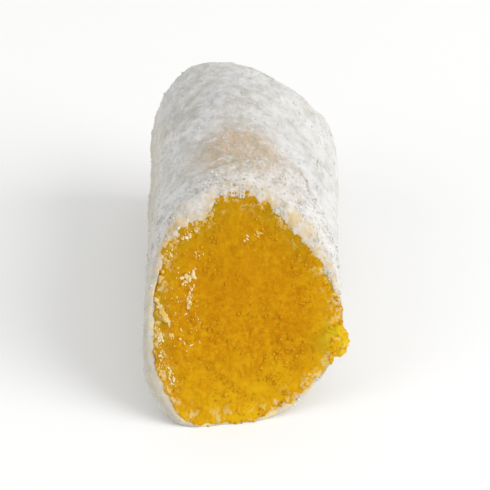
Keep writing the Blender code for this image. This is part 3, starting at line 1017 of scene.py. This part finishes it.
def paste_material():
    """Moist, finely granular yolk paste: gold, with painted shade that makes its hollows and pits a deeper
    orange, paler on its grains, mustard and olive high up, lemon low down and on the smeared crumb, with a
    frost of sugar at the rim."""
    g = Graph("yolk_paste_grainy")
    large = g.noise(4.6 * MM, 3)
    middle = g.noise(1.3 * MM, 4, 0.6)
    fine = g.noise(0.38 * MM, 3, 0.6)
    tone = g.weighted((large, 0.4), (middle, 0.6))
    colour = g.mix(g.between(tone, 0.38, 0.62), PASTE["amber"], PASTE["gold"])
    colour = g.lay(colour, g.attribute("mustard"), 0.7, PASTE["mustard"])
    grain = g.attribute("grain")
    colour = g.lay(colour, g.between(grain, 0.45, 0.85), 0.45, PASTE["pale_grain"])
    colour = g.lay(colour, g.between(grain, 0.40, 0.12), 0.40, PASTE["dark_grain"])
    # Painted shade: deeper orange where the relief of the grain sinks
    colour = g.lay(colour, g.between(g.attribute("height"), 0.05, -0.08), 0.45, PASTE["hollow"])
    # Painted shade in the pits and between the crumb's knobs
    colour = g.lay(colour, g.attribute("pits"), 0.25, PASTE["pit_shade"])
    grainy = g.noise(0.60 * MM, 5, 0.75)
    colour = g.lay(colour, g.between(grainy, 0.50, 0.38), 0.30, PASTE["orange"])
    colour = g.lay(colour, g.between(grainy, 0.53, 0.66), 0.40, PASTE["yellow"])
    colour = g.lay(colour, g.attribute("deep"), 0.35, PASTE["deep"])
    colour = g.lay(colour, g.attribute("olive"), 0.75, PASTE["olive"])
    colour = g.lay(colour, g.attribute("lemon"), 0.85, PASTE["lemon"])
    smear = g.times(g.attribute("smear"), g.between(middle, 0.62, 0.40))
    colour = g.lay(colour, smear, 0.85, PASTE["smear"])
    colour = g.lay(colour, g.between(fine, 0.60, 0.78), 0.35, PASTE["bright"])
    frost = g.times(g.attribute("frost"), g.between(fine, 0.42, 0.52))
    colour = g.lay(colour, frost, 0.75, PASTE["frost"])
    normal = g.bump(g.noise(0.20 * MM, 3, 0.6), 0.045 * MM, 0.7)
    g.set(Base_Color=colour, Roughness=0.66, Normal=normal, Specular_IOR_Level=0.03)
    g.set(Subsurface_Weight=0.30, Subsurface_Scale=0.6 * MM, Subsurface_Radius=(1.0, 0.42, 0.08))
    return g.material


def crumb_material(name, dark, light, spot):
    """Loose lumps: each has its own tone, with finer spots."""
    g = Graph(name)
    colour = g.mix(g.attribute("tone"), dark, light)
    colour = g.lay(colour, g.between(g.noise(0.12 * MM, 2), 0.5, 0.7), 0.4, spot)
    normal = g.bump(g.noise(0.09 * MM, 3, 0.6), 0.02 * MM, 0.7)
    g.set(Base_Color=colour, Roughness=0.85, Normal=normal, Specular_IOR_Level=0.08)
    g.set(Subsurface_Weight=0.15, Subsurface_Scale=0.3 * MM)
    return g.material


def floor_material():
    """A pale floor with hardly any pattern."""
    g = Graph("pale_floor")
    colour = g.mix(g.noise(60 * MM, 2), *FLOOR_COLOURS)
    g.set(Base_Color=colour, Roughness=0.9, Specular_IOR_Level=0.1)
    return g.material


# Stage, light and camera


def make_stage():
    """A plain pale floor."""
    mesh = bpy.data.meshes.new("floor")
    corners = [(x * FLOOR_HALF, y * FLOOR_HALF, 0) for x, y in ((-1, -1), (1, -1), (1, 1), (-1, 1))]
    mesh.from_pydata(corners, [], [(0, 1, 2, 3)])
    mesh.materials.append(floor_material())
    floor = bpy.data.objects.new("floor", mesh)
    bpy.context.scene.collection.objects.link(floor)


def add_light(name, place, size, power, colour):
    """A round soft light that looks at the stick."""
    light = bpy.data.lights.new(name, "AREA")
    light.shape = "DISK"
    light.size = size
    light.energy = power
    light.color = colour
    obj = bpy.data.objects.new(name, light)
    bpy.context.scene.collection.objects.link(obj)
    obj.location = place
    obj.rotation_euler = (Vector((0, 0, AXIS_Z)) - Vector(place)).to_track_quat("-Z", "Y").to_euler()


def make_light():
    """Even white light from all round, with a soft key light on the right and a weak fill on the left."""
    world = bpy.data.worlds.new("soft_white")
    world.use_nodes = True
    background = world.node_tree.nodes["Background"]
    background.inputs["Color"].default_value = (1.0, 1.0, 1.0, 1.0)
    background.inputs["Strength"].default_value = WORLD_STRENGTH
    bpy.context.scene.world = world
    bpy.context.scene.view_settings.view_transform = "Standard"
    for light in LIGHTS:
        add_light(*light)


def make_camera():
    """The photograph's viewpoint, with a longer lens."""
    cut_middle = Vector((AXIS_X, cut_y(AXIS_X, AXIS_Z), AXIS_Z))
    away = Vector((0, -math.cos(CAMERA_ELEVATION), math.sin(CAMERA_ELEVATION)))
    camera = bpy.data.objects.new("camera", bpy.data.cameras.new("camera"))
    bpy.context.scene.collection.objects.link(camera)
    camera.location = cut_middle + away * CAMERA_DISTANCE
    camera.rotation_euler = (cut_middle + CAMERA_AIM - camera.location).to_track_quat("-Z", "Y").to_euler()
    camera.data.sensor_width = SENSOR_WIDTH
    camera.data.lens = CAMERA_LENS
    camera.data.clip_start, camera.data.clip_end = CLIP_START, CLIP_END
    bpy.context.scene.camera = camera


def main():
    coat, rings, normals, band = make_coat(sugar_material())
    paste, face, radius = make_paste(paste_material(), rings[RIM_ROUND_RINGS + RIM_FLAT_RINGS])
    clumps = coat_crumbs(rings, normals, band, crumb_material("loose_sugar", *LOOSE_SUGAR))
    shown = radius < SHOWN_SHARE * radius.max()
    dragged = face_crumbs(face, shown, crumb_material("dragged_sugar", *FACE_SUGAR))
    granules = paste_crumbs(face, radius, crumb_material("loose_paste", *LOOSE_PASTE))
    for piece in (coat, paste, clumps, dragged, granules):
        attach(piece, "root")
    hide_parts("sugar_coat")
    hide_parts("yolk_paste")
    make_stage()
    make_light()
    make_camera()


main()
